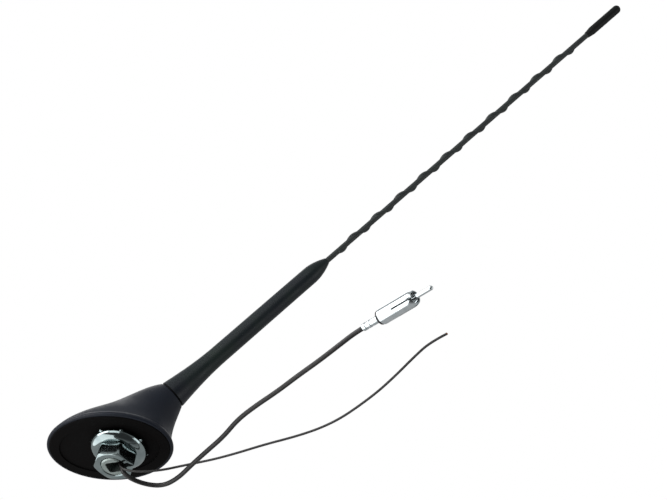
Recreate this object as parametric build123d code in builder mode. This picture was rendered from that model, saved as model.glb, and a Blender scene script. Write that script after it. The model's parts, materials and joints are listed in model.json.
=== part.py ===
from build123d import *

import math
import os

# Roof antenna: an oval foot that clamps to a sheet-metal roof, a raked mast that screws into
# the foot's neck, and two short leads that leave through the slotted stud.
# Millimetres, +Z up. The origin is on the roof plane, on the axis of the fixing stud, and the
# mast leans toward +X.

# Foot
FOOT_LENGTH = 87.2
FOOT_WIDTH = 63.4
STUD_FORWARD = 7.2        # stud axis ahead of the middle of the oval
GASKET_THICK = 2.4
GASKET_RIM = 8.5          # width of the ring that seals on the roof, with its rounded edge
GASKET_RECESS = 0.8       # depth of the middle behind that ring
GASKET_LIP = 0.8          # gasket stands out past the shell
GASKET_EDGE = 1.2         # rounding of the gasket's lower edge
SHELL_WALL = 2.6
RIM_HEIGHT = 4.4          # steep edge of the shell above the gasket
RIM_LEAN = 1.5            # how far that edge leans inward
WAIST = 1.6               # hollow of the shell's front below the neck
NECK_X = 29.2
NECK_Z = 38.9
NECK_DIA = 19.4
NECK_EDGE = 0.5           # chamfer round the neck's face
MAST_RAKE = 47.8          # degrees above the roof

# Base casting and stud
PLATE_THICK = 3.6
PLATE_GAP = 0.6           # between plate and shell
SHOULDER_DIA = 20.0
SHOULDER_GAP = 0.1        # between shoulder and gasket
STUD_DIA = 15.9
STUD_LENGTH = 17.0        # below the roof plane
STUD_CHAMFER = 0.8
SLOT_WIDTH = 8.8
SLOT_CORNER = 1.76
SLOT_WALL = 3.7           # wall left on the closed side of the slot
SLOT_TOP = 1.0            # the slot opens sideways from here down
SLOT_FRONT = 6.8          # front of the closed cable hole through the plate
POST_DIA = 5.0
POST_HEIGHT = 3.5

# Fixing hardware under the roof
ROOF_GAP = 0.8            # room left between the claws and the gasket
WASHER_DIA = 37.0
WASHER_HEIGHT = 4.9
WASHER_FLAT = 25.2        # diameter of the flat that the nut bears on
WASHER_SHEET = 1.2
WASHER_BORE_GAP = 0.35    # between washer and stud
CLAW_COUNT = 8
CLAW_TURN = 31.0          # first claw round from +X, degrees
CLAW_WIDTH = 2.2
CLAW_REACH = 2.0          # how far a claw stands out past the rim
CLAW_RISE = 0.3           # how far its tip stands up past the rim
NUT_FLATS = 24.0
NUT_HEIGHT = 10.6
NUT_BORE_GAP = 0.15       # between nut and stud
NUT_CHAMFER = 1.0
NUT_SLOPE = 1.4           # run of the chamfer, as a multiple of a corner's reach past the flats
NUT_MOUTH = 0.6           # chamfer of the bore
NUT_TURN = 9.0            # a corner stands this far round from +X, degrees

# Neck socket and mast
SOCKET_DIA = 9.2
SOCKET_LENGTH = 15.0
SOCKET_WALL = 2.9         # plastic boss round the socket
TAIL_DIA = 3.0
TAIL_LENGTH = 9.0
TAIL_GAP = 0.3
THREAD_DIA = 4.8
THREAD_GAP = 0.1
THREAD_LENGTH = 9.6
THREAD_CHAMFER = 0.6
SEAL_THICK = 0.9
SEAL_INSET = 0.6          # the seal lies this far in from the neck's edge
SLEEVE_LENGTH = 137.0
SLEEVE_FLARE = 42.0       # length of the hollow taper at the foot of the sleeve
SLEEVE_DIA = 12.4         # above the taper
SLEEVE_TOP_DIA = 11.9
COLLAR_LENGTH = 15.5      # pointed top end of the sleeve
COLLAR_DIA = 4.4
STUD_ROOT_DIA = 8.0       # the mast's thread is moulded in by this root
STUD_ROOT_LENGTH = 18.0
WHIP_DIA = 3.7
WHIP_ROOT = 22.0          # length of rod inside the sleeve
RIB_DIA = 2.1
RIB_SINK = 0.05           # centre of the rib below the rod's surface
RIB_PITCH = 21.5
RIB_START = 10.5          # first rib above the sleeve
RIB_TURNS = 10.35
CAP_DIA = 5.8
CAP_LENGTH = 32.0
CAP_CONE = 5.0
CAP_MOUTH = 4.3
CAP_END = 8.0             # solid end of the cap past the rod
MAST_LENGTH = 414.6       # from the neck's face to the tip

# Amplifier
BOARD_BACK = 27.0         # behind the stud axis
BOARD_FRONT = 14.5
BOARD_WIDTH = 23.0
BOARD_THICK = 1.6
POST_BACK = 22.0
POST_FRONT = 8.0
POST_SIDE = 8.0
CAN_LENGTH = 15.0
CAN_WIDTH = 13.0
CAN_HEIGHT = 5.0
CAN_CORNER = 0.8
CAN_EDGE = 0.4
CAN_BACK = 20.0
SPRING_WIDTH = 5.0
SPRING_THICK = 0.4
SPRING_FOOT = 10.0
SPRING_ARM_UP = 3.0
SPRING_ARM_DOWN = 3.5

# Screws
COVER_SCREW_DIA = 2.9
COVER_SCREW_LENGTH = 9.0
COVER_HEAD_DIA = 6.0
COVER_HEAD_HEIGHT = 2.0
COVER_SCREW_REAR = 37.0   # behind the stud axis
COVER_SCREW_FRONT = 18.0
COVER_SCREW_SIDE = 15.0
COVER_BOSS_DIA = 7.6
BOARD_SCREW_DIA = 2.4
BOARD_SCREW_LENGTH = 6.0
BOARD_HEAD_DIA = 4.4
BOARD_HEAD_HEIGHT = 1.7
SCREW_GAP = 0.05
HEAD_GAP = 0.2
COVER_RECESS_DIA = 4.0    # driver recess across a screw head
BOARD_RECESS_DIA = 2.0
RECESS_WIDTH = 0.7
RECESS_DEPTH = 0.9

# Aerial plug, along its own axis from the cable end
PLUG_X = 209.5
PLUG_Y = -86.8
PLUG_TURN = -23.2         # degrees from +X
PLUG_DIA = 9.9
PLUG_WALL = 0.5
FERRULE_DIA = 4.6
FERRULE_LENGTH = 13.6
FERRULE_BORE = 9.0
CRIMP_DEPTH = 0.35
CRIMP_WIDTH = 1.6
CRIMP_STARTS = (2.25, 5.85)  # from the cable end
COLLAR_RING = 1.8         # length of the dark ring behind the barrel
BARREL_LENGTH = 26.4
BARREL_NOSE = 4.0
NOSE_DIA = 8.2
CORE_LENGTH = 9.0
PLUG_SLOTS = 4
PLUG_SLOT_WIDTH = 0.9
PLUG_SLOT_LENGTH = 15.5
PIN_DIA = 2.9
PIN_ROOT_DIA = 3.6        # thicker part of the pin, held in the core
PIN_OUT = 13.8            # length of pin past the barrel

# Leads, with the points that their middles pass
FLOOR_Z = -25.5           # the leads and the plug lie at this height
COAX_DIA = 3.0
COAX_IN_FERRULE = 8.0
COAX_STRAIGHT = 6.0       # straight run before the ferrule
WIRE_DIA = 1.5
BEND_SHARE = 0.45         # share of each straight run that a bend may use
COAX_POINTS = [
    (4.2, 1.7, -1.5),
    (4.4, 1.8, -17.0),
    (9.6, 4.8, -22.8),
    (18.8, 12.4, -24.0),
    (30.0, 16.2, -24.0),
    (43.2, 10.9, -24.0),
    (57.5, 0.8, -24.0),
    (72.6, -9.1, -24.0),
    (88.5, -19.2, -24.0),
    (104.4, -32.2, -24.0),
    (121.0, -41.5, -24.0),
    (139.0, -50.4, -24.0),
    (157.7, -60.9, -24.0),
    (174.5, -69.7, -24.0),
    (190.5, -78.0, -22.6),
]
WIRE_POINTS = [
    (4.4, -1.6, -1.5),
    (4.6, -1.6, -16.8),
    (10.2, -1.2, -22.0),
    (21.5, 0.0, -24.4),
    (35.5, 1.8, -24.0),
    (47.0, 3.6, -21.3),
    (60.5, 2.9, -21.1),
    (74.0, -0.5, -23.6),
    (91.2, -4.0, -24.75),
    (112.0, -7.8, -24.75),
    (134.0, -10.6, -24.75),
    (152.0, -14.4, -24.75),
    (168.0, -20.2, -24.75),
    (184.0, -28.6, -24.75),
    (200.0, -38.0, -24.75),
    (216.0, -49.2, -24.75),
    (231.3, -60.8, -24.75),
    (245.0, -70.3, -24.75),
    (257.1, -74.8, -24.75),
]

os.makedirs("parts", exist_ok=True)

# Places that follow from the sizes
oval_x = -STUD_FORWARD
plate_bottom = GASKET_THICK
plate_top = plate_bottom + PLATE_THICK
board_bottom = plate_top + POST_HEIGHT
board_top = board_bottom + BOARD_THICK
slot_back = SLOT_WALL - STUD_DIA / 2
washer_rim = -ROOF_GAP - CLAW_RISE
nut_top = washer_rim - WASHER_HEIGHT
nut_bottom = nut_top - NUT_HEIGHT
rake = math.radians(MAST_RAKE)
mast_dir = Vector(math.cos(rake), 0, math.sin(rake))
mast_down = Vector(math.sin(rake), 0, -math.cos(rake))
neck = Vector(NECK_X, 0, NECK_Z)
neck_plane = Plane(origin=neck, x_dir=mast_down, z_dir=mast_dir)
mast_side = Plane(origin=neck, x_dir=mast_down, z_dir=(0, -1, 0))
mast_axis = Axis(neck, mast_dir)
cover_screw_spots = {
    "rear": (-COVER_SCREW_REAR, 0),
    "left": (COVER_SCREW_FRONT, COVER_SCREW_SIDE),
    "right": (COVER_SCREW_FRONT, -COVER_SCREW_SIDE),
}
board_screw_spots = {
    "rear": (-POST_BACK, POST_SIDE),
    "front": (POST_FRONT, -POST_SIDE),
}
post_spots = [(x, y) for x in (-POST_BACK, POST_FRONT) for y in (-POST_SIDE, POST_SIDE)]


def write(builder, name):
    """Label a finished piece and write its file."""
    builder.part.label = name
    export_step(builder.part, f"parts/{name}.step")


def between(start, end, share):
    """Point or number a share of the way from start to end."""
    return start + (end - start) * share


# Shell of the foot. Each section is an ellipse between the oval rim and the round neck: the
# share of the way up at the front, the share of the waist there, the shares up and along at
# the back, and the share of the narrowing.
FOOT_SECTIONS = [
    (0.30, 1.0, 0.22, 0.19, 0.23),
    (0.52, 0.9, 0.42, 0.41, 0.47),
    (0.75, 0.5, 0.70, 0.66, 0.70),
    (0.92, 0.1, 0.93, 0.87, 0.89),
]
rim_half = Vector(FOOT_LENGTH / 2 - GASKET_LIP, FOOT_WIDTH / 2 - GASKET_LIP)
top_half = rim_half - Vector(RIM_LEAN, RIM_LEAN)
rim_top = GASKET_THICK + RIM_HEIGHT
rim_front = Vector(oval_x + top_half.X, 0, rim_top)
rim_back = Vector(oval_x - top_half.X, 0, rim_top)
neck_front = neck + mast_down * (NECK_DIA / 2)
neck_back = neck - mast_down * (NECK_DIA / 2)


def section_between(front, back, half_width):
    """Plane and half sizes of the ellipse that spans two ends in the mid plane."""
    middle = (front + back) * 0.5
    along = (front - back).normalized()
    plane = Plane(origin=middle, x_dir=along, z_dir=Vector(-along.Z, 0, along.X))
    return plane, (front - back).length / 2, half_width


foot_sections = [
    (Plane((oval_x, 0, GASKET_THICK)), rim_half.X, rim_half.Y),
    (Plane((oval_x, 0, rim_top)), top_half.X, top_half.Y),
]
for front_up, waist, back_up, back_along, narrowing in FOOT_SECTIONS:
    front_end = Vector(
        between(rim_front.X, neck_front.X, front_up) - WAIST * waist,
        0,
        between(rim_front.Z, neck_front.Z, front_up),
    )
    back_end = Vector(
        between(rim_back.X, neck_back.X, back_along),
        0,
        between(rim_back.Z, neck_back.Z, back_up),
    )
    foot_sections.append(section_between(front_end, back_end, between(top_half.Y, NECK_DIA / 2, narrowing)))
foot_sections.append((neck_plane, NECK_DIA / 2, NECK_DIA / 2))

with BuildPart() as foot_hollow:
    for section_plane, half_length, half_width in foot_sections[:5]:
        with BuildSketch(section_plane):
            Ellipse(half_length - SHELL_WALL, half_width - SHELL_WALL)
    loft()
    # The boss round the mast socket and the screw bosses stay standing in the hollow.
    with BuildSketch(neck_plane):
        Circle(SOCKET_DIA / 2 + SOCKET_WALL)
    extrude(amount=-SOCKET_LENGTH - SOCKET_WALL, mode=Mode.SUBTRACT)
    with BuildSketch(Plane.XY.offset(plate_top)):
        with Locations(*cover_screw_spots.values()):
            Circle(COVER_BOSS_DIA / 2)
    extrude(amount=NECK_Z, mode=Mode.SUBTRACT)

with BuildPart() as foot_cover:
    for section_plane, half_length, half_width in foot_sections:
        with BuildSketch(section_plane):
            Ellipse(half_length, half_width)
    loft()
    neck_rim = foot_cover.faces().sort_by(mast_axis)[-1].edges()
    chamfer(neck_rim, NECK_EDGE)
    add(foot_hollow.part, mode=Mode.SUBTRACT)
    with BuildSketch(neck_plane):
        Circle(SOCKET_DIA / 2)
    extrude(amount=-SOCKET_LENGTH, mode=Mode.SUBTRACT)
    with BuildSketch(neck_plane.offset(-SOCKET_LENGTH)):
        Circle(TAIL_DIA / 2 + TAIL_GAP)
    extrude(amount=-TAIL_LENGTH, mode=Mode.SUBTRACT)
    with BuildSketch(Plane.XY.offset(plate_top)):
        with Locations(*cover_screw_spots.values()):
            Circle(COVER_SCREW_DIA / 2 + SCREW_GAP)
    extrude(amount=COVER_SCREW_LENGTH - PLATE_THICK + COVER_HEAD_HEIGHT, mode=Mode.SUBTRACT)
write(foot_cover, "foot_cover")

# Rubber pad under the shell: a flat ring seals on the roof, the middle stands back.
with BuildPart() as base_gasket:
    with BuildSketch(Plane((oval_x, 0, 0))):
        Ellipse(FOOT_LENGTH / 2, FOOT_WIDTH / 2)
    extrude(amount=GASKET_THICK)
    fillet(base_gasket.faces().sort_by(Axis.Z)[0].edges(), GASKET_EDGE)
    with BuildSketch(Plane((oval_x, 0, 0))):
        Ellipse(FOOT_LENGTH / 2 - GASKET_RIM, FOOT_WIDTH / 2 - GASKET_RIM)
    extrude(amount=GASKET_RECESS, mode=Mode.SUBTRACT)
    with BuildSketch(Plane.XY):
        Circle(SHOULDER_DIA / 2 + SHOULDER_GAP)
    extrude(amount=GASKET_THICK, mode=Mode.SUBTRACT)
write(base_gasket, "base_gasket")

# Plate inside the shell, cast in one with the stud. The cable hole goes right through, and in
# the stud it is a slot that opens toward the front.
with BuildPart() as base_casting:
    with BuildSketch(Plane((oval_x, 0, plate_bottom))):
        Ellipse(top_half.X - SHELL_WALL - PLATE_GAP, top_half.Y - SHELL_WALL - PLATE_GAP)
    extrude(amount=PLATE_THICK)
    with BuildSketch(Plane.XY.offset(plate_top)):
        with Locations(*post_spots):
            Circle(POST_DIA / 2)
    extrude(amount=POST_HEIGHT)
    with BuildSketch(Plane.XY.offset(plate_bottom)):
        Circle(SHOULDER_DIA / 2)
    extrude(amount=GASKET_RECESS - plate_bottom)
    with BuildSketch(Plane.XY.offset(GASKET_RECESS)):
        Circle(STUD_DIA / 2)
    extrude(amount=-STUD_LENGTH - GASKET_RECESS)
    stud_end = base_casting.faces().sort_by(Axis.Z)[0]
    chamfer(stud_end.edges(), STUD_CHAMFER)
    with BuildSketch(Plane.XY.offset(plate_top)):
        with Locations(((slot_back + SLOT_FRONT) / 2, 0)):
            RectangleRounded(SLOT_FRONT - slot_back, SLOT_WIDTH, SLOT_CORNER)
    extrude(amount=-plate_top - STUD_LENGTH, mode=Mode.SUBTRACT)
    with BuildSketch(Plane.XY.offset(-SLOT_TOP)):
        with Locations((STUD_DIA / 2, 0)):
            Rectangle(STUD_DIA, SLOT_WIDTH)
    extrude(amount=-STUD_LENGTH, mode=Mode.SUBTRACT)
    with Locations(Plane(origin=(0, 0, plate_bottom), x_dir=(1, 0, 0), z_dir=(0, 0, -1))):
        with Locations(*[(x, -y) for x, y in cover_screw_spots.values()]):
            CounterBoreHole(
                radius=COVER_SCREW_DIA / 2 + HEAD_GAP,
                counter_bore_radius=COVER_HEAD_DIA / 2 + HEAD_GAP,
                counter_bore_depth=COVER_HEAD_HEIGHT,
                depth=PLATE_THICK,
            )
    with BuildSketch(Plane.XY.offset(board_bottom)):
        with Locations(*board_screw_spots.values()):
            Circle(BOARD_SCREW_DIA / 2 + SCREW_GAP)
    extrude(amount=BOARD_THICK - BOARD_SCREW_LENGTH, mode=Mode.SUBTRACT)
write(base_casting, "base_casting")

# Screws up through the casting into the shell's bosses, heads flush under the plate.
for spot_name, (spot_x, spot_y) in cover_screw_spots.items():
    with BuildPart() as cover_screw:
        with BuildSketch(Plane((spot_x, spot_y, plate_bottom))):
            Circle(COVER_HEAD_DIA / 2)
        extrude(amount=COVER_HEAD_HEIGHT)
        with BuildSketch(Plane((spot_x, spot_y, plate_bottom))):
            Circle(COVER_SCREW_DIA / 2)
        extrude(amount=COVER_HEAD_HEIGHT + COVER_SCREW_LENGTH)
        with BuildSketch(Plane((spot_x, spot_y, plate_bottom))):
            Rectangle(COVER_RECESS_DIA, RECESS_WIDTH)
            Rectangle(RECESS_WIDTH, COVER_RECESS_DIA)
        extrude(amount=RECESS_DEPTH, mode=Mode.SUBTRACT)
    write(cover_screw, f"cover_screw_{spot_name}")

# Amplifier board on the casting's posts.
with BuildPart() as amplifier_board:
    with BuildSketch(Plane(((BOARD_FRONT - BOARD_BACK) / 2, 0, board_bottom))):
        RectangleRounded(BOARD_FRONT + BOARD_BACK, BOARD_WIDTH, POST_DIA / 2)
    extrude(amount=BOARD_THICK)
    with BuildSketch(Plane.XY.offset(board_bottom)):
        with Locations(*board_screw_spots.values()):
            Circle(BOARD_SCREW_DIA / 2 + HEAD_GAP)
    extrude(amount=BOARD_THICK, mode=Mode.SUBTRACT)
write(amplifier_board, "amplifier_board")

for spot_name, (spot_x, spot_y) in board_screw_spots.items():
    with BuildPart() as board_screw:
        with BuildSketch(Plane((spot_x, spot_y, board_top))):
            Circle(BOARD_HEAD_DIA / 2)
        extrude(amount=BOARD_HEAD_HEIGHT)
        with BuildSketch(Plane((spot_x, spot_y, board_top))):
            Circle(BOARD_SCREW_DIA / 2)
        extrude(amount=-BOARD_SCREW_LENGTH)
        with BuildSketch(Plane((spot_x, spot_y, board_top + BOARD_HEAD_HEIGHT))):
            Rectangle(BOARD_RECESS_DIA, RECESS_WIDTH)
            Rectangle(RECESS_WIDTH, BOARD_RECESS_DIA)
        extrude(amount=-RECESS_DEPTH, mode=Mode.SUBTRACT)
    write(board_screw, f"board_screw_{spot_name}")

with BuildPart() as shield_can:
    with BuildSketch(Plane((CAN_LENGTH / 2 - CAN_BACK, 0, board_top))):
        RectangleRounded(CAN_LENGTH, CAN_WIDTH, CAN_CORNER)
    extrude(amount=CAN_HEIGHT)
    fillet(shield_can.faces().sort_by(Axis.Z)[-1].edges(), CAN_EDGE)
write(shield_can, "shield_can")

# Brass socket in the neck. Its tail reaches down to the contact spring.
with BuildPart() as mast_socket:
    with BuildSketch(neck_plane):
        Circle(SOCKET_DIA / 2)
    extrude(amount=-SOCKET_LENGTH)
    with BuildSketch(neck_plane.offset(-SOCKET_LENGTH)):
        Circle(TAIL_DIA / 2)
    extrude(amount=-TAIL_LENGTH)
    with BuildSketch(neck_plane):
        Circle(THREAD_DIA / 2 + THREAD_GAP)
    extrude(amount=-THREAD_LENGTH - TAIL_DIA / 2, mode=Mode.SUBTRACT)
write(mast_socket, "mast_socket")

# Flat spring soldered to the board: its upper arm lies against the end of the tail.
arm_middle = neck - mast_dir * (SOCKET_LENGTH + TAIL_LENGTH + SPRING_THICK / 2)
arm_low = arm_middle + mast_down * SPRING_ARM_DOWN
arm_high = arm_middle - mast_down * SPRING_ARM_UP
with BuildPart() as contact_spring:
    with BuildSketch(Plane.XZ):
        with BuildLine():
            Polyline(
                (arm_middle.X - SPRING_FOOT, board_top + SPRING_THICK / 2),
                (arm_middle.X, board_top + SPRING_THICK / 2),
                (arm_low.X, arm_low.Z),
                (arm_high.X, arm_high.Z),
            )
        trace(line_width=SPRING_THICK)
    extrude(amount=SPRING_WIDTH / 2, both=True)
write(contact_spring, "contact_spring")

# Domed washer under the roof, with claws bent out of its rim.
washer_out = WASHER_DIA / 2
washer_flat = WASHER_FLAT / 2
with BuildPart() as claw_washer:
    with BuildSketch(Plane.XZ):
        with BuildLine():
            bore = STUD_DIA / 2 + WASHER_BORE_GAP
            Line((bore, nut_top), (washer_flat, nut_top))
            EllipticalCenterArc(
                (washer_flat, washer_rim),
                washer_out - washer_flat,
                WASHER_HEIGHT,
                start_angle=270,
                arc_size=90,
            )
            Line((washer_out, washer_rim), (washer_out - WASHER_SHEET, washer_rim))
            EllipticalCenterArc(
                (washer_flat, washer_rim),
                washer_out - washer_flat - WASHER_SHEET,
                WASHER_HEIGHT - WASHER_SHEET,
                start_angle=270,
                arc_size=90,
            )
            Line((washer_flat, nut_top + WASHER_SHEET), (bore, nut_top + WASHER_SHEET))
            Line((bore, nut_top + WASHER_SHEET), (bore, nut_top))
        make_face()
    revolve(axis=Axis.Z)
    for claw in range(CLAW_COUNT):
        claw_plane = Plane.XZ.rotated((0, 0, CLAW_TURN + claw * 360 / CLAW_COUNT))
        with BuildSketch(claw_plane):
            with BuildLine():
                Polyline(
                    (washer_out - WASHER_SHEET, washer_rim),
                    (washer_out - WASHER_SHEET / 2, washer_rim - WASHER_SHEET),
                    (washer_out + CLAW_REACH, washer_rim - WASHER_SHEET / 4),
                    (washer_out + CLAW_REACH, washer_rim + CLAW_RISE),
                    close=True,
                )
            make_face()
        extrude(amount=CLAW_WIDTH / 2, both=True)
write(claw_washer, "claw_washer")

# Hexagon nut, chamfered at both ends.
nut_corner = NUT_FLATS / 2 / math.cos(math.radians(30))
nut_slope = (nut_corner - NUT_FLATS / 2) * NUT_SLOPE
with BuildPart() as fixing_nut:
    with BuildSketch(Plane.XY.offset(nut_bottom)):
        RegularPolygon(nut_corner, 6, rotation=NUT_TURN)
    extrude(amount=NUT_HEIGHT)
    with BuildSketch(Plane.XZ):
        with BuildLine():
            Polyline(
                (0, nut_bottom),
                (nut_corner - nut_slope, nut_bottom),
                (nut_corner, nut_bottom + NUT_CHAMFER),
                (nut_corner, nut_top - NUT_CHAMFER),
                (nut_corner - nut_slope, nut_top),
                (0, nut_top),
                close=True,
            )
        make_face()
    revolve(axis=Axis.Z, mode=Mode.INTERSECT)
    with BuildSketch(Plane.XY.offset(nut_bottom)):
        Circle(STUD_DIA / 2 + NUT_BORE_GAP)
    extrude(amount=NUT_HEIGHT, mode=Mode.SUBTRACT)
    nut_mouth = fixing_nut.edges().filter_by(GeomType.CIRCLE).group_by(SortBy.RADIUS)[0]
    chamfer(nut_mouth, NUT_MOUTH)
write(fixing_nut, "fixing_nut")

# Seal between the neck and the mast.
with BuildPart() as seal_ring:
    with BuildSketch(neck_plane):
        Circle(NECK_DIA / 2 - SEAL_INSET)
        Circle(THREAD_DIA / 2 + TAIL_GAP, mode=Mode.SUBTRACT)
    extrude(amount=SEAL_THICK)
write(seal_ring, "seal_ring")

# Sleeve of the mast: a hollow taper, a long slim body and a pointed collar round the whip.
with BuildPart() as mast_sleeve:
    with BuildSketch(mast_side):
        with BuildLine():
            base_half = NECK_DIA / 2
            low_half = SLEEVE_DIA / 2
            top_half_dia = SLEEVE_TOP_DIA / 2
            collar_start = SLEEVE_LENGTH - COLLAR_LENGTH
            Line((0, SEAL_THICK), (base_half, SEAL_THICK))
            Bezier(
                (base_half, SEAL_THICK),
                (between(base_half, low_half, 0.5), SLEEVE_FLARE / 3),
                (low_half, SLEEVE_FLARE * 0.62),
                (low_half, SLEEVE_FLARE),
            )
            Line((low_half, SLEEVE_FLARE), (top_half_dia, collar_start))
            Bezier(
                (top_half_dia, collar_start),
                (top_half_dia, between(collar_start, SLEEVE_LENGTH, 0.4)),
                (between(COLLAR_DIA / 2, top_half_dia, 0.4), between(collar_start, SLEEVE_LENGTH, 0.8)),
                (COLLAR_DIA / 2, SLEEVE_LENGTH),
            )
            Line((COLLAR_DIA / 2, SLEEVE_LENGTH), (0, SLEEVE_LENGTH))
            Line((0, SLEEVE_LENGTH), (0, SEAL_THICK))
        make_face()
    revolve(axis=mast_axis)
    with BuildSketch(neck_plane.offset(SEAL_THICK)):
        Circle(STUD_ROOT_DIA / 2)
    extrude(amount=STUD_ROOT_LENGTH, mode=Mode.SUBTRACT)
    with BuildSketch(neck_plane.offset(SLEEVE_LENGTH)):
        Circle(WHIP_DIA / 2)
    extrude(amount=-WHIP_ROOT, mode=Mode.SUBTRACT)
write(mast_sleeve, "mast_sleeve")

with BuildPart() as mast_stud:
    with BuildSketch(neck_plane.offset(SEAL_THICK)):
        Circle(STUD_ROOT_DIA / 2)
    extrude(amount=STUD_ROOT_LENGTH)
    with BuildSketch(neck_plane.offset(SEAL_THICK)):
        Circle(THREAD_DIA / 2)
    extrude(amount=-THREAD_LENGTH - SEAL_THICK)
    thread_end = mast_stud.edges().filter_by(GeomType.CIRCLE).sort_by(mast_axis)[0]
    chamfer(thread_end, THREAD_CHAMFER)
write(mast_stud, "mast_stud")

# Whip: a rod with one spiral rib from the sleeve to the cap.
with BuildPart() as whip:
    with BuildSketch(neck_plane.offset(SLEEVE_LENGTH - WHIP_ROOT)):
        Circle(WHIP_DIA / 2)
    extrude(amount=MAST_LENGTH - CAP_END - SLEEVE_LENGTH + WHIP_ROOT)
    with BuildLine():
        rib_path = Helix(
            RIB_PITCH,
            RIB_PITCH * RIB_TURNS,
            WHIP_DIA / 2 - RIB_SINK,
            center=neck + mast_dir * (SLEEVE_LENGTH + RIB_START),
            direction=mast_dir,
        )
    with BuildSketch(Plane(origin=rib_path @ 0, z_dir=rib_path % 0)):
        Circle(RIB_DIA / 2)
    sweep(path=rib_path, is_frenet=True)
    with Locations(rib_path @ 0, rib_path @ 1):
        Sphere(RIB_DIA / 2)
write(whip, "whip")

with BuildPart() as tip_cap:
    with BuildSketch(mast_side):
        with BuildLine():
            cap_start = MAST_LENGTH - CAP_LENGTH
            cap_shoulder = MAST_LENGTH - CAP_DIA / 2
            Polyline(
                (0, cap_start),
                (CAP_MOUTH / 2, cap_start),
                (CAP_DIA / 2, cap_start + CAP_CONE),
                (CAP_DIA / 2, cap_shoulder),
            )
            CenterArc((0, cap_shoulder), CAP_DIA / 2, 0, 90)
            Line((0, MAST_LENGTH), (0, cap_start))
        make_face()
    revolve(axis=mast_axis)
    with BuildSketch(neck_plane.offset(cap_start)):
        Circle(WHIP_DIA / 2)
    extrude(amount=CAP_LENGTH - CAP_END, mode=Mode.SUBTRACT)
write(tip_cap, "tip_cap")

# Aerial plug. Its profiles are drawn along the plug's axis, with the radius upward.
plug_turn = math.radians(PLUG_TURN)
plug_dir = Vector(math.cos(plug_turn), math.sin(plug_turn), 0)
plug_start = Vector(PLUG_X, PLUG_Y, FLOOR_Z + PLUG_DIA / 2)
plug_side = Plane(origin=plug_start, x_dir=plug_dir, z_dir=(plug_dir.Y, -plug_dir.X, 0))
plug_end = Plane(origin=plug_start, x_dir=(0, 0, 1), z_dir=plug_dir)
plug_axis = Axis(plug_start, plug_dir)
barrel_start = FERRULE_LENGTH + COLLAR_RING
barrel_end = barrel_start + BARREL_LENGTH
plug_inner = PLUG_DIA / 2 - PLUG_WALL

with BuildPart() as plug_ferrule:
    with BuildSketch(plug_end):
        Circle(FERRULE_DIA / 2)
    extrude(amount=FERRULE_LENGTH)
    for crimp_start in CRIMP_STARTS:
        with BuildSketch(plug_end.offset(crimp_start)):
            Circle(FERRULE_DIA / 2)
            Circle(FERRULE_DIA / 2 - CRIMP_DEPTH, mode=Mode.SUBTRACT)
        extrude(amount=CRIMP_WIDTH, mode=Mode.SUBTRACT)
    with BuildSketch(plug_end):
        Circle(COAX_DIA / 2)
    extrude(amount=FERRULE_BORE, mode=Mode.SUBTRACT)
write(plug_ferrule, "plug_ferrule")

with BuildPart() as plug_insulator:
    with BuildSketch(plug_end.offset(FERRULE_LENGTH)):
        Circle(plug_inner)
        Circle(PIN_ROOT_DIA / 2, mode=Mode.SUBTRACT)
    extrude(amount=COLLAR_RING + CORE_LENGTH)
write(plug_insulator, "plug_insulator")

with BuildPart() as plug_barrel:
    with BuildSketch(plug_side):
        with BuildLine():
            Polyline(
                (barrel_end, NOSE_DIA / 2 - PLUG_WALL),
                (barrel_end, NOSE_DIA / 2),
            )
            Bezier(
                (barrel_end, NOSE_DIA / 2),
                (barrel_end - BARREL_NOSE / 3, PLUG_DIA / 2),
                (barrel_end - BARREL_NOSE, PLUG_DIA / 2),
            )
            Polyline(
                (barrel_end - BARREL_NOSE, PLUG_DIA / 2),
                (barrel_start, PLUG_DIA / 2),
                (barrel_start, plug_inner),
                (barrel_end - BARREL_NOSE, plug_inner),
            )
            Bezier(
                (barrel_end - BARREL_NOSE, plug_inner),
                (barrel_end - BARREL_NOSE / 3, plug_inner),
                (barrel_end, NOSE_DIA / 2 - PLUG_WALL),
            )
        make_face()
    revolve(axis=plug_axis)
    with BuildSketch(plug_end.offset(barrel_end)):
        with PolarLocations(PLUG_DIA / 2, PLUG_SLOTS, start_angle=45):
            Rectangle(PLUG_WALL * 5, PLUG_SLOT_WIDTH)
    extrude(amount=-PLUG_SLOT_LENGTH, mode=Mode.SUBTRACT)
write(plug_barrel, "plug_barrel")

with BuildPart() as plug_pin:
    with BuildSketch(plug_side):
        with BuildLine():
            pin_end = barrel_end + PIN_OUT
            Polyline(
                (pin_end, 0),
                (FERRULE_LENGTH, 0),
                (FERRULE_LENGTH, PIN_ROOT_DIA / 2),
                (barrel_start + CORE_LENGTH, PIN_ROOT_DIA / 2),
                (barrel_start + CORE_LENGTH, PIN_DIA / 2),
                (pin_end - PIN_DIA / 2, PIN_DIA / 2),
            )
            CenterArc((pin_end - PIN_DIA / 2, 0), PIN_DIA / 2, 0, 90)
        make_face()
    revolve(axis=plug_axis)
write(plug_pin, "plug_pin")


def corner_radii(points):
    """Largest even bend at each point of a lead's route, from its shorter run and its turn."""
    radii = []
    for before, here, after in zip(points, points[1:], points[2:]):
        run_in = here - before
        run_out = after - here
        half_turn = math.radians(run_in.get_angle(run_out) / 2)
        radii.append(BEND_SHARE * min(run_in.length, run_out.length) / math.tan(half_turn))
    return radii


def lead_route(name, points):
    """Vectors of a lead's route and its bend radii, printed for a look at the tightest."""
    route = [Vector(*point) for point in points]
    radii = corner_radii(route)
    print(name, "radii", [round(radius, 1) for radius in radii])
    return route, radii


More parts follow.
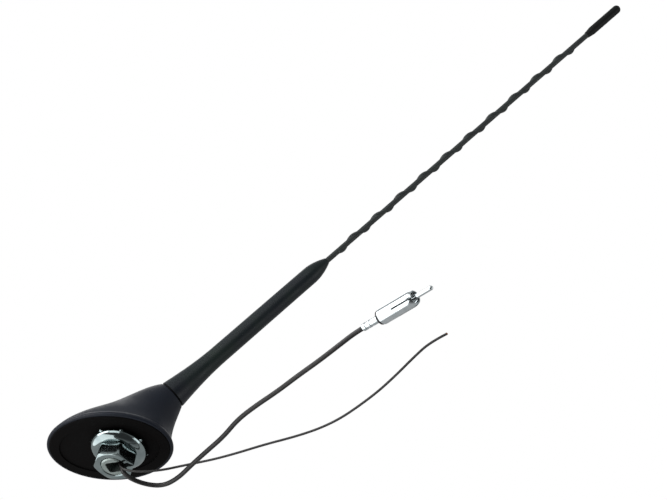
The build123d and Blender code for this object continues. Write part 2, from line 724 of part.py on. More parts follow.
coax_last = plug_start - plug_dir * COAX_STRAIGHT
coax_end = plug_start + plug_dir * COAX_IN_FERRULE
coax_first = (COAX_POINTS[0][0], COAX_POINTS[0][1], board_bottom)
coax_route, coax_radii = lead_route(
    "coax_lead", [coax_first] + COAX_POINTS + [tuple(coax_last), tuple(coax_end)]
)
with BuildPart() as coax_lead:
    with BuildLine():
        coax_path = FilletPolyline(*coax_route, radius=coax_radii)
    with BuildSketch(Plane(origin=coax_path @ 0, z_dir=coax_path % 0)):
        Circle(COAX_DIA / 2)
    sweep(path=coax_path)
write(coax_lead, "coax_lead")
coax_volume = math.pi * COAX_DIA**2 / 4 * coax_path.length
print("coax_lead length", round(coax_path.length, 1), coax_lead.part.volume / coax_volume)

wire_first = (WIRE_POINTS[0][0], WIRE_POINTS[0][1], board_bottom)
wire_route, wire_radii = lead_route("supply_wire", [wire_first] + WIRE_POINTS)
with BuildPart() as supply_wire:
    with BuildLine():
        wire_path = FilletPolyline(*wire_route, radius=wire_radii)
    with BuildSketch(Plane(origin=wire_path @ 0, z_dir=wire_path % 0)):
        Circle(WIRE_DIA / 2)
    sweep(path=wire_path)
write(supply_wire, "supply_wire")
wire_volume = math.pi * WIRE_DIA**2 / 4 * wire_path.length
print("supply_wire length", round(wire_path.length, 1), supply_wire.part.volume / wire_volume)
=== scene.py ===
"""Studio scene of a vehicle roof antenna, dressed over its fixed CAD frame.

The frame gives every solid at its real size and place. This file adds a finish for each solid, the
gasket, the shell's lip, the washer and the nut with their soft edges, the flexible leads, the strands
at the cut end of the supply wire, and the studio round them.
Sizes are in millimetres unless a name says otherwise, and are turned to metres where they are used.
"""

import json
import logging
import math
from dataclasses import dataclass, field
from enum import Enum
from typing import Any, ClassVar

import bmesh
import bpy
from mathutils import Matrix, Vector

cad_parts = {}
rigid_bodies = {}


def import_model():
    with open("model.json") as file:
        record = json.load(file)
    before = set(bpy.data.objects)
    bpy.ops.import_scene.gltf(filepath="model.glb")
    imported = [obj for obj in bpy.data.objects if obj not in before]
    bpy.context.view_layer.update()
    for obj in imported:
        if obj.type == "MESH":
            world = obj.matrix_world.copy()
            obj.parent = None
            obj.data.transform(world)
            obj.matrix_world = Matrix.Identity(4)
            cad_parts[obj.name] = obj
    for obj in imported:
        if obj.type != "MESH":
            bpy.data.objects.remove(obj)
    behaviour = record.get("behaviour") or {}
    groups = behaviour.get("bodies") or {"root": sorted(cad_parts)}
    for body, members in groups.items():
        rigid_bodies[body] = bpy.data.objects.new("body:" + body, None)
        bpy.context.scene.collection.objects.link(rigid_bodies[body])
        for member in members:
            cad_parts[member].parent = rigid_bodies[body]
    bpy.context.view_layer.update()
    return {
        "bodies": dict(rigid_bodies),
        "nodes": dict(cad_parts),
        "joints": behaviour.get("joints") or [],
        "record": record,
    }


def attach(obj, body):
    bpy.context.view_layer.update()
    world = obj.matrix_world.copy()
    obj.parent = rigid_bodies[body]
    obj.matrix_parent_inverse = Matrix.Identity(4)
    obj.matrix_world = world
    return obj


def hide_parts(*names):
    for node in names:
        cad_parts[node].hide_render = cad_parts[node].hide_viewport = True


LOG = logging.getLogger("roof_antenna")
MM = 0.001
# Heights that differ by less are taken as one.
TOLERANCE = 0.01

Point = tuple[float, float, float]
Point2 = tuple[float, float]
Tree = bpy.types.NodeTree
Node = bpy.types.Node
Socket = bpy.types.NodeSocket

UPWARD: Point = (0.0, 0.0, 1.0)

# A mix node's sockets go by number, because those for numbers and for colours have the same names.
MIX_SHARE = 0
MIX_NUMBERS = (2, 3)
MIX_COLOURS = (6, 7)
MIX_COLOUR_RESULT = 2


def metres(point_mm: Point) -> Vector:
    """Point in metres from one in millimetres."""
    return Vector(point_mm) * MM


def srgb(hex_code: str) -> tuple[float, float, float, float]:
    """Turn an sRGB hex code into the linear colour that shaders take.

    Args:
        hex_code: Six hex digits after a hash sign.

    Returns:
        Linear red, green, blue and an alpha of 1.
    """
    # The numbers are those of the sRGB standard.
    parts = [int(hex_code[i : i + 2], 16) / 255 for i in (1, 3, 5)]
    linear = [p / 12.92 if p <= 0.04045 else ((p + 0.055) / 1.055) ** 2.4 for p in parts]
    return (linear[0], linear[1], linear[2], 1.0)


def add_node(
    tree: Tree,
    kind: str,
    settings: dict[str, Any] | None = None,
    values: dict[Any, Any] | None = None,
    links: dict[Any, Socket] | None = None,
) -> Node:
    """Add one shader node with its settings, its socket values and its incoming links.

    Args:
        tree: The node tree that gets the node.
        kind: The node's type.
        settings: Properties of the node itself.
        values: Values of its input sockets, by name or number.
        links: Output sockets to link to its inputs, by name or number.

    Returns:
        The new node.
    """
    node = tree.nodes.new(kind)
    for key, value in (settings or {}).items():
        setattr(node, key, value)
    for socket, value in (values or {}).items():
        node.inputs[socket].default_value = value
    for socket, source in (links or {}).items():
        tree.links.new(source, node.inputs[socket])
    return node


@dataclass(frozen=True)
class TurningAxis:
    """Axis that a turned or threaded surface runs round.

    Attributes:
        origin: A point on the axis.
        direction: The way along it.
    """

    origin: Point
    direction: Point

    def coordinates(self, tree: Tree) -> Socket:
        """Object coordinates in metres, turned so that Z runs along the axis."""
        turn = Vector(UPWARD).rotation_difference(Vector(self.direction)).to_euler()
        place = add_node(tree, "ShaderNodeTexCoord").outputs["Object"]
        mapping = add_node(
            tree,
            "ShaderNodeMapping",
            {"vector_type": "TEXTURE"},
            {"Location": metres(self.origin), "Rotation": turn},
            {"Vector": place},
        )
        return mapping.outputs["Vector"]


# The mast's rake and joint, the floor just under the leads, and the plug, as the frame has them.
RAKE = math.radians(47.8)
MAST_DIRECTION: Point = (math.cos(RAKE), 0.0, math.sin(RAKE))
NECK: Point = (29.2, 0.0, 38.9)
FLOOR_HEIGHT = -25.5
FLOOR_GAP = 0.05
PLUG_TURN = math.radians(-23.2)
PLUG_DIRECTION: Point = (math.cos(PLUG_TURN), math.sin(PLUG_TURN), 0.0)
PLUG_RADIUS = 4.95
PLUG_START: Point = (209.5, -86.8, FLOOR_HEIGHT + PLUG_RADIUS)

STUD_AXIS = TurningAxis((0.0, 0.0, 0.0), UPWARD)
MAST_AXIS = TurningAxis(NECK, MAST_DIRECTION)
PLUG_AXIS = TurningAxis(PLUG_START, PLUG_DIRECTION)


class Cut(Enum):
    """How a metal surface was cut before it was plated."""

    ROLLED = "rolled"
    TURNED = "turned"
    THREADED = "threaded"


@dataclass(frozen=True)
class Look:
    """Patterns of a finish.

    Attributes:
        second: Colour that is mixed into the main one, as an sRGB hex code.
        share: Share of that colour, from 0 to 1.
        values: Shader values that are the same all over.
        gloss: Roughness from place to place, or None where it is even.
        height: Relief, from 0 to 1, or None where there is none.
        depth: Depth of the relief.
        strength: How much of the relief shows.
    """

    second: str
    share: Socket
    values: dict[str, float]
    gloss: Socket | None = None
    height: Socket | None = None
    depth: float = 0.0
    strength: float = 0.0


@dataclass(frozen=True)
class Finish:
    """What every finish has.

    Attributes:
        name: The material's common name and how its surface was made.
        colour: Main colour as an sRGB hex code.
        roughness: Mean roughness.
    """

    # Most values of a noise lie between these two, and the last is how rough its finer layers are.
    NOISE_LOW: ClassVar[float] = 0.3
    NOISE_HIGH: ClassVar[float] = 0.7
    NOISE_ROUGHNESS: ClassVar[float] = 0.55

    name: str
    colour: str
    roughness: float

    def material(self) -> bpy.types.Material:
        """Make the material, or return it where it has been made already."""
        known = bpy.data.materials.get(self.name)
        if known is not None:
            return known
        material = bpy.data.materials.new(self.name)
        material.use_nodes = True
        tree = material.node_tree
        tree.nodes.clear()
        look = self.look(tree)
        colours = dict(zip(MIX_COLOURS, (srgb(self.colour), srgb(look.second))))
        mix = add_node(tree, "ShaderNodeMix", {"data_type": "RGBA"}, colours, {MIX_SHARE: look.share})
        links = {"Base Color": mix.outputs[MIX_COLOUR_RESULT]}
        if look.gloss is not None:
            links["Roughness"] = look.gloss
        if look.height is not None:
            relief = {"Strength": look.strength, "Distance": look.depth * MM}
            bump = add_node(tree, "ShaderNodeBump", values=relief, links={"Height": look.height})
            links["Normal"] = bump.outputs["Normal"]
        values = {"Base Color": srgb(self.colour), "Roughness": self.roughness, **look.values}
        shader = add_node(tree, "ShaderNodeBsdfPrincipled", values=values, links=links)
        add_node(tree, "ShaderNodeOutputMaterial", links={"Surface": shader.outputs["BSDF"]})
        return material

    def look(self, tree: Tree) -> Look:
        """Make the patterns of this finish."""
        raise NotImplementedError

    def cloud(self, tree: Tree, size: float, detail: float = 4.0) -> Socket:
        """Soft noise whose lumps are about one size.

        Args:
            tree: The material's node tree.
            size: Size of a lump.
            detail: How many finer layers it has.

        Returns:
            The noise as a number from 0 to 1.
        """
        place = add_node(tree, "ShaderNodeTexCoord").outputs["Object"]
        values = {"Scale": 1 / (size * MM), "Detail": detail, "Roughness": self.NOISE_ROUGHNESS}
        return add_node(tree, "ShaderNodeTexNoise", values=values, links={"Vector": place}).outputs["Fac"]

    def spread(self, tree: Tree, noise: Socket, low: float = 0.0, high: float = 1.0) -> Socket:
        """Stretch the middle of a noise to run from one number to another.

        Args:
            tree: The material's node tree.
            noise: The noise.
            low: What its low values become.
            high: What its high values become.

        Returns:
            The stretched number.
        """
        values = {"From Min": self.NOISE_LOW, "From Max": self.NOISE_HIGH, "To Min": low, "To Max": high}
        return add_node(tree, "ShaderNodeMapRange", values=values, links={"Value": noise}).outputs["Result"]


@dataclass(frozen=True)
class MouldedPlastic(Finish):
    """Injection moulding with the fine texture of an eroded mould.

    Attributes:
        tint: Second colour that drifts over the surface.
        drift: Size of that drift.
        grain: Spacing of the mould's texture. A real one is too fine to show, so it is drawn coarser.
        grain_height: Height of the texture.
        specular: Strength of the mirror reflection, 0.5 for a bare polymer.
    """

    # Hands polish some places and scuff others, in patches a third as large as the drift.
    POLISH: ClassVar[float] = 0.06
    SCUFF: ClassVar[float] = 0.08
    PATCHES_PER_DRIFT: ClassVar[int] = 3
    PATCH_DETAIL: ClassVar[float] = 6.0
    GRAIN_DETAIL: ClassVar[float] = 2.0
    GRAIN_STRENGTH: ClassVar[float] = 0.5

    tint: str
    drift: float
    grain: float
    grain_height: float
    specular: float

    def look(self, tree: Tree) -> Look:
        """Drift of colour, uneven gloss and a pebbled skin."""
        patches = self.cloud(tree, self.drift / self.PATCHES_PER_DRIFT, self.PATCH_DETAIL)
        return Look(
            second=self.tint,
            share=self.spread(tree, self.cloud(tree, self.drift)),
            values={"Specular IOR Level": self.specular},
            gloss=self.spread(tree, patches, self.roughness - self.POLISH, self.roughness + self.SCUFF),
            height=self.cloud(tree, self.grain, self.GRAIN_DETAIL),
            depth=self.grain_height,
            strength=self.GRAIN_STRENGTH,
        )


@dataclass(frozen=True)
class VulcanisedRubber(Finish):
    """Rubber pressed in a mould: dull, with a bloom of pale wax and small pits.

    Attributes:
        bloom: Colour of the wax that comes to the surface.
        bloom_size: Size of its clouds.
        pit: Spacing of the pits. Real ones are too fine to show, so they are drawn coarser.
        pit_depth: Depth of the pits.
    """

    SPECULAR: ClassVar[float] = 0.06
    BLOOM_DETAIL: ClassVar[float] = 8.0
    POLISH: ClassVar[float] = 0.05
    SCUFF: ClassVar[float] = 0.1
    PIT_STRENGTH: ClassVar[float] = 0.6

    bloom: str
    bloom_size: float
    pit: float
    pit_depth: float

    def look(self, tree: Tree) -> Look:
        """Wax bloom over the colour, and pits in the skin."""
        bloom = self.cloud(tree, self.bloom_size, self.BLOOM_DETAIL)
        place = add_node(tree, "ShaderNodeTexCoord").outputs["Object"]
        spacing = {"Scale": 1 / (self.pit * MM)}
        pits = add_node(tree, "ShaderNodeTexVoronoi", values=spacing, links={"Vector": place})
        return Look(
            second=self.bloom,
            share=self.spread(tree, bloom),
            values={"Specular IOR Level": self.SPECULAR},
            gloss=self.spread(tree, bloom, self.roughness - self.POLISH, self.roughness + self.SCUFF),
            height=pits.outputs["Distance"],
            depth=self.pit_depth,
            strength=self.PIT_STRENGTH,
        )


@dataclass(frozen=True)
class PlatedMetal(Finish):
    """Bright metal, bare or plated, with the marks of how it was cut.

    Attributes:
        stain: Colour of the thin stains on it.
        stain_size: Size of the stains.
        cut: How the surface was cut.
        axis: Axis of a turned or threaded surface.
        pitch: Spacing of its grooves: a thread's own, and a lathe's drawn coarser so that they show.
        groove: Depth of its grooves.
        root: Radius of the grooves' floor. Nothing is cut inside it.
    """

    STAIN_DETAIL: ClassVar[float] = 6.0
    # Roughness of clean and of stained metal, as multiples of the mean.
    CLEAN: ClassVar[float] = 0.7
    STAINED: ClassVar[float] = 1.6
    # A rolled sheet has waves this many grooves long.
    WAVE_PITCHES: ClassVar[int] = 8
    WAVE_DETAIL: ClassVar[float] = 3.0
    CUT_STRENGTH: ClassVar[float] = 0.5
    HALF_TURN: ClassVar[float] = 0.5

    stain: str
    stain_size: float
    cut: Cut = Cut.ROLLED
    axis: TurningAxis = STUD_AXIS
    pitch: float = 0.25
    groove: float = 0.004
    root: float = 0.0

    def look(self, tree: Tree) -> Look:
        """Stains that dull the shine, and the grooves of the cut."""
        stains = self.cloud(tree, self.stain_size, self.STAIN_DETAIL)
        if self.cut is Cut.ROLLED:
            height = self.cloud(tree, self.pitch * self.WAVE_PITCHES, self.WAVE_DETAIL)
        else:
            height = self.grooves(tree)
        return Look(
            second=self.stain,
            share=self.spread(tree, stains),
            values={"Metallic": 1.0},
            gloss=self.spread(tree, stains, self.roughness * self.CLEAN, self.roughness * self.STAINED),
            height=height,
            depth=self.groove,
            strength=self.CUT_STRENGTH,
        )

    def grooves(self, tree: Tree) -> Socket:
        """Rings round the axis, or one spiral where the surface is threaded."""
        place = self.axis.coordinates(tree)
        along = add_node(tree, "ShaderNodeSeparateXYZ", links={"Vector": place}).outputs["Z"]
        divide = {"operation": "DIVIDE"}
        turns = add_node(tree, "ShaderNodeMath", divide, {1: self.pitch * MM}, {0: along}).outputs[0]
        if self.cut is Cut.THREADED:
            radial = {"gradient_type": "RADIAL"}
            part = add_node(tree, "ShaderNodeTexGradient", radial, links={"Vector": place}).outputs["Fac"]
            links = {0: turns, 1: part}
            turns = add_node(tree, "ShaderNodeMath", {"operation": "ADD"}, links=links).outputs[0]
        saw = add_node(tree, "ShaderNodeMath", {"operation": "PINGPONG"}, {1: self.HALF_TURN}, {0: turns})
        multiply = {"operation": "MULTIPLY"}
        level = add_node(tree, "ShaderNodeVectorMath", multiply, {1: (1.0, 1.0, 0.0)}, {0: place})
        length = {"operation": "LENGTH"}
        radius = add_node(tree, "ShaderNodeVectorMath", length, links={0: level.outputs["Vector"]})
        beyond = {"operation": "GREATER_THAN"}
        outside = add_node(
            tree, "ShaderNodeMath", beyond, {1: self.root * MM}, {0: radius.outputs["Value"]}
        )
        cut = add_node(tree, "ShaderNodeMath", multiply, links={0: saw.outputs[0], 1: outside.outputs[0]})
        return cut.outputs[0]


@dataclass(frozen=True)
class GlassLaminate(Finish):
    """Glass-cloth laminate under a green lacquer.

    Attributes:
        weave: Spacing of the threads that show through.
        thread: Colour of the threads.
    """

    LACQUER: ClassVar[float] = 0.4
    THREADS_PER_CLOUD: ClassVar[int] = 3

    weave: float
    thread: str

    def look(self, tree: Tree) -> Look:
        """Threads both ways under the lacquer."""
        place = add_node(tree, "ShaderNodeTexCoord").outputs["Object"]
        spacing = {"Scale": 1 / (self.weave * MM)}
        checks = add_node(tree, "ShaderNodeTexChecker", values=spacing, links={"Vector": place})
        links = {0: checks.outputs["Fac"], 1: self.cloud(tree, self.weave * self.THREADS_PER_CLOUD)}
        share = add_node(tree, "ShaderNodeMath", {"operation": "MULTIPLY"}, links=links)
        return Look(self.thread, share.outputs[0], {"Coat Weight": self.LACQUER})


# ASA foot, moulded: black with a cold drift, a dull satin that still shows soft lights.
FOOT_PLASTIC = MouldedPlastic(
    "asa_moulded_black", "#0e121c", 0.46,
    tint="#141a24", drift=32.0, grain=0.5, grain_height=0.03, specular=0.2,
)
# Polyamide sleeve, moulded over the mast's stud: as the foot, a little greener and smoother.
SLEEVE_PLASTIC = MouldedPlastic(
    "polyamide_moulded_black", "#12151f", 0.42,
    tint="#14201d", drift=24.0, grain=0.45, grain_height=0.02, specular=0.26,
)
# Rod jacket, extruded with its rib: greyer, because its skin is scuffed all over.
WHIP_PLASTIC = MouldedPlastic(
    "polyamide_extruded_grey_black", "#262a2a", 0.5,
    tint="#2c3231", drift=14.0, grain=0.4, grain_height=0.02, specular=0.35,
)
# Cap of soft vinyl, dipped: dull black.
CAP_PLASTIC = MouldedPlastic(
    "vinyl_dipped_black", "#0d0e0f", 0.52,
    tint="#141717", drift=9.0, grain=0.5, grain_height=0.02, specular=0.2,
)
# Core of the plug, moulded: plain black.
CORE_PLASTIC = MouldedPlastic(
    "acetal_moulded_black", "#161617", 0.4,
    tint="#1b1b1c", drift=6.0, grain=0.4, grain_height=0.01, specular=0.4,
)
# Jacket of the leads, extruded vinyl: black with a soft shine.
LEAD_JACKET = MouldedPlastic(
    "vinyl_extruded_black", "#121111", 0.38,
    tint="#1a1818", drift=12.0, grain=0.7, grain_height=0.015, specular=0.3,
)
# Gasket of EPDM, pressed: the dullest black, with a brown bloom.
GASKET_RUBBER = VulcanisedRubber(
    "epdm_pressed_black", "#050505", 0.7, bloom="#0a0808", bloom_size=18.0, pit=0.9, pit_depth=0.03
)
# Seal of nitrile rubber, pressed: dull black, with a grey bloom.
SEAL_RUBBER = VulcanisedRubber(
    "nitrile_pressed_black", "#080808", 0.6, bloom="#0f0f0f", bloom_size=6.0, pit=0.6, pit_depth=0.02
)
# Zinc, die-cast and then threaded: a dull silver with a faint green cast.
CAST_ZINC = PlatedMetal(
    "zinc_cast_and_threaded", "#a6b0ae", 0.4, stain="#8b9692", stain_size=6.0,
    cut=Cut.THREADED, axis=STUD_AXIS, pitch=1.5, groove=0.5, root=7.3,
)
# Washer and nut, chromium plated: cool dark mirrors with a faint stain.
CHROME = PlatedMetal(
    "steel_chrome_plated", "#98a4a4", 0.1, stain="#839092", stain_size=7.0, pitch=0.5, groove=0.02
)
# Plug, nickel plated on turned brass: cool silver with faint rings from the lathe.
PLUG_NICKEL = PlatedMetal(
    "brass_nickel_plated", "#d2d8db", 0.13, stain="#bcc4c6", stain_size=5.0,
    cut=Cut.TURNED, axis=PLUG_AXIS, pitch=0.35, groove=0.002,
)
# Stud of the mast, zinc plated after its thread was rolled: grey silver, shiny on the crests.
MAST_STEEL = PlatedMetal(
    "steel_zinc_plated_threaded", "#b9bbbb", 0.25, stain="#9d9f9c", stain_size=4.0,
    cut=Cut.THREADED, axis=MAST_AXIS, pitch=0.8, groove=0.35, root=2.0,
)
# Socket of bare brass, turned: yellow, with brown stains and fine rings.
SOCKET_BRASS = PlatedMetal(
    "brass_turned", "#b8944c", 0.25, stain="#94713a", stain_size=4.0,
    cut=Cut.TURNED, axis=MAST_AXIS, pitch=0.3, groove=0.01,
)
# Screws, zinc plated: grey silver with a yellow stain.
SCREW_STEEL = PlatedMetal("steel_zinc_plated", "#b4b6b3", 0.28, stain="#a39f8d", stain_size=3.0)
# Can and spring of tinned sheet: pale grey, softly shiny.
TINPLATE = PlatedMetal("steel_tinned", "#b9bcbd", 0.3, stain="#a6a9a9", stain_size=5.0)
# Strands of drawn copper: pink where they were cut, browner between.
COPPER = PlatedMetal("copper_drawn", "#c07a54", 0.25, stain="#8f5335", stain_size=1.0, pitch=0.1)
# Circuit board: green lacquer, with the glass threads just showing.
BOARD = GlassLaminate("glass_laminate_green", "#14502c", 0.35, weave=0.8, thread="#2a6b3e")


def dress_node(frame: dict[str, Any], node: str, finish: Finish) -> None:
    """Give a CAD node its finish.

    Args:
        frame: The loaded frame.
        node: The node's name.
        finish: What it is made of.
    """
    solid = frame["nodes"][node]
    if not solid.material_slots:
        solid.data.materials.append(None)
    for slot in solid.material_slots:
        slot.material = finish.material()
    LOG.info("%s dressed in %s", node, finish.name)


@dataclass
class DressedNodes:
    """A sub-assembly whose shapes are the frame's own solids.

    Attributes:
        finishes: What each node is made of.
    """

    finishes: dict[str, Finish]

    def dress(self, frame: dict[str, Any]) -> None:
        """Dress each node of the sub-assembly."""
        for node, finish in self.finishes.items():
            dress_node(frame, node, finish)


@dataclass
class Foot(DressedNodes):
    """Oval foot and the casting inside it."""

    finishes: dict[str, Finish] = field(
        default_factory=lambda: {
            "foot_cover": FOOT_PLASTIC,
            "base_casting": CAST_ZINC,
            "cover_screw_rear": SCREW_STEEL,
            "cover_screw_left": SCREW_STEEL,
            "cover_screw_right": SCREW_STEEL,
        }
    )


@dataclass
class Amplifier(DressedNodes):
    """Board, can and spring inside the foot."""

    finishes: dict[str, Finish] = field(
        default_factory=lambda: {
            "amplifier_board": BOARD,
            "board_screw_rear": SCREW_STEEL,
            "board_screw_front": SCREW_STEEL,
            "shield_can": TINPLATE,
            "contact_spring": TINPLATE,
        }
    )


@dataclass
class Mast(DressedNodes):
    """Socket, seal, sleeve and ribbed whip."""

    finishes: dict[str, Finish] = field(
        default_factory=lambda: {
            "mast_socket": SOCKET_BRASS,
            "seal_ring": SEAL_RUBBER,
            "mast_sleeve": SLEEVE_PLASTIC,
            "mast_stud": MAST_STEEL,
            "whip": WHIP_PLASTIC,
            "tip_cap": CAP_PLASTIC,
        }
    )


@dataclass
class AerialPlug(DressedNodes):
    """Plug on the aerial lead."""

    finishes: dict[str, Finish] = field(
        default_factory=lambda: {
            "plug_ferrule": PLUG_NICKEL,
            "plug_insulator": CORE_PLASTIC,
            "plug_barrel": PLUG_NICKEL,
            "plug_pin": PLUG_NICKEL,
        }
    )


@dataclass(frozen=True)
class Hoop:
    """A level line round a ring: a circle or an oval.

    Attributes:
        along: Half its size along X.
        across: Half its size along Y.
        height: Its height.
        middle: Place of its middle along X.
    """

    along: float
    across: float
    height: float
    middle: float = 0.0


@dataclass
class RingPiece:
    """A closed ring round the stud, whose skin runs from hoop to hoop.

    Attributes:
        name: The piece's name.
        body: The body that it moves with.
        slot: Name of its material slot in the record. Not used.
        finish: What it is made of.
        nodes: The CAD nodes that it stands for.
        steps: Faces round the ring.
        soften: Width of the rounding on its sharp edges.
        first_turn: Where the first face starts, round from +X in degrees.
        sharp: Edges that turn by more than this many degrees are sharp.
        soften_steps: Faces across the rounding of an edge.
    """

    name: str
    body: str
    slot: str
    finish: Finish
    nodes: tuple[str, ...]
    steps: int
    soften: float
    first_turn: float = 0.0
    sharp: float = 24.0
    soften_steps: int = 2

    def hoops(self) -> list[Hoop]:
        """The lines that the skin runs through, in order round its section."""
        raise NotImplementedError

    def form(self, shape: bmesh.types.BMesh) -> None:
        """Form the closed skin further. A plain ring stays as it is."""

    def build(self) -> bpy.types.Object:
        """Model the ring and put it in its place.

        Returns:
            The ring's object.
        """
        shape = bmesh.new()
        self.add_skin(shape)
        self.form(shape)
        bmesh.ops.recalc_face_normals(shape, faces=shape.faces)
        sharp_edges = [edge for edge in shape.edges if edge.calc_face_angle() > math.radians(self.sharp)]
        bmesh.ops.bevel(
            shape,
            geom=sharp_edges,
            offset=self.soften * MM,
            offset_type="OFFSET",
            segments=self.soften_steps,
            profile=0.5,
            affect="EDGES",
            clamp_overlap=True,
            material=-1,
        )
        mesh = bpy.data.meshes.new(self.name)
        shape.to_mesh(mesh)
        shape.free()
        mesh.materials.append(self.finish.material())
        for face in mesh.polygons:
            face.use_smooth = True
        mesh.set_sharp_from_angle(angle=math.radians(self.sharp))
        ring = bpy.data.objects.new(self.name, mesh)
        bpy.context.collection.objects.link(ring)
        # Large faces stay flat mirrors, and only the rounded edges between them bend the light.
        flatten = ring.modifiers.new("flat_faces", "WEIGHTED_NORMAL")
        flatten.mode = "FACE_AREA"
        flatten.keep_sharp = True
        if self.nodes:
            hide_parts(*self.nodes)
        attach(ring, self.body)
        LOG.info("%s has %d faces", ring.name, len(mesh.polygons))
        return ring

    def add_skin(self, shape: bmesh.types.BMesh) -> None:
        """Draw the first hoop out through the others, and join the last one to it."""
        hoops = self.hoops()
        start = Matrix.Rotation(math.radians(self.first_turn), 4, "Z") @ Matrix.Scale(MM, 4)
        verts = bmesh.ops.create_circle(shape, segments=self.steps, radius=1.0, matrix=start)["verts"]
        edges = first_edges = list(shape.edges)
        self.move_hoop(shape, verts, Hoop(1.0, 1.0, 0.0), hoops[0])
        for near, far in zip(hoops, hoops[1:]):
            drawn = bmesh.ops.extrude_edge_only(shape, edges=edges)["geom"]
            verts = [part for part in drawn if isinstance(part, bmesh.types.BMVert)]
            edges = [part for part in drawn if isinstance(part, bmesh.types.BMEdge)]
            self.move_hoop(shape, verts, near, far)
        bmesh.ops.bridge_loops(shape, edges=first_edges + edges)

    def move_hoop(
        self, shape: bmesh.types.BMesh, verts: list[bmesh.types.BMVert], near: Hoop, far: Hoop
    ) -> None:
        """Bring the corners of one hoop to the next.

        Args:
            shape: The mesh that holds them.
            verts: The corners, which lie on the first hoop.
            near: The hoop that they lie on.
            far: The hoop that they go to.
        """
        stretch = (far.along / near.along, far.across / near.across, 1.0)
        from_middle = Matrix.Translation(metres((-near.middle, 0.0, 0.0)))
        bmesh.ops.scale(shape, vec=stretch, space=from_middle, verts=verts)
        step = metres((far.middle - near.middle, 0.0, far.height - near.height))
        bmesh.ops.translate(shape, vec=step, verts=verts)


@dataclass
class OvalPiece(RingPiece):
    """A ring that follows the oval edge of the foot.

    Attributes:
        half_length: Half the length of the foot's outline.
        half_width: Half its width.
        middle: Place of its middle along X.
    """

    steps: int = 180
    soften: float = 0.12
    half_length: float = 43.6
    half_width: float = 31.7
    middle: float = -7.2

    def edge(self, inset: float, height: float) -> Hoop:
        """Line a little inside the foot's outline, at a height above the roof."""
        return Hoop(self.half_length - inset, self.half_width - inset, height, self.middle)


@dataclass
class GasketPad(OvalPiece):
    """Rubber pad that lies inside the shell's edge, with a sealing rim and a hollow middle.

    Attributes:
        inset: How far its edge lies inside the foot's outline.
        edge_round: Size of the rounding of that edge.
        rim: Width of the sealing rim.
        step_round: Size of the rounding where the rim ends.
        hollow: Depth of the middle.
        top: Height of its upper side, just under the shell.
        hole: Radius of the hole round the stud's shoulder.
    """

    name: str = "base_gasket_pad"
    body: str = "base"
    slot: str = "gasket_rubber"
    finish: Finish = GASKET_RUBBER
    nodes: tuple[str, ...] = ("base_gasket",)
    inset: float = 1.9
    edge_round: float = 0.4
    rim: float = 6.6
    step_round: float = 0.2
    hollow: float = 0.8
    top: float = 2.35
    hole: float = 10.1

    def hoops(self) -> list[Hoop]:
        """Edge, rim, hollow and hole. The upper side closes the skin."""
        rim_end = self.inset + self.rim
        return [
            self.edge(self.inset, self.top),
            self.edge(self.inset, self.edge_round),
            self.edge(self.inset + self.edge_round, 0.0),
            self.edge(rim_end, 0.0),
            self.edge(rim_end + self.step_round, self.step_round),
            self.edge(rim_end + self.step_round, self.hollow),
            Hoop(self.hole, self.hole, self.hollow),
            Hoop(self.hole, self.hole, self.top),
        ]


@dataclass
class ShellLip(OvalPiece):
    """Rounded lower edge of the shell, which wraps the rim of the gasket.

    Attributes:
        profile: Inset from the foot's outline and height of each corner of its section.
    """

    name: str = "foot_cover_lip"
    body: str = "base"
    slot: str = "shell_plastic"
    finish: Finish = FOOT_PLASTIC
    nodes: tuple[str, ...] = ()
    profile: tuple[Point2, ...] = (
        (1.85, 0.6), (1.0, 0.6), (0.5, 0.8), (0.12, 1.3), (0.0, 2.0),
        (0.2, 2.8), (0.6, 3.6), (1.35, 4.6), (2.2, 4.6), (2.2, 2.4), (1.85, 2.4),
    )

    def hoops(self) -> list[Hoop]:
        """The corners of the profile, each drawn round the oval."""
        return [self.edge(inset, height) for inset, height in self.profile]


@dataclass
class TurnedPiece(RingPiece):
    """A ring about the stud's axis."""

    def outline(self) -> list[Point2]:
        """Radius and height of each corner of the ring's section."""
        raise NotImplementedError

    def hoops(self) -> list[Hoop]:
        """The outline's corners, turned about the axis."""
        return [Hoop(radius, radius, height) for radius, height in self.outline()]


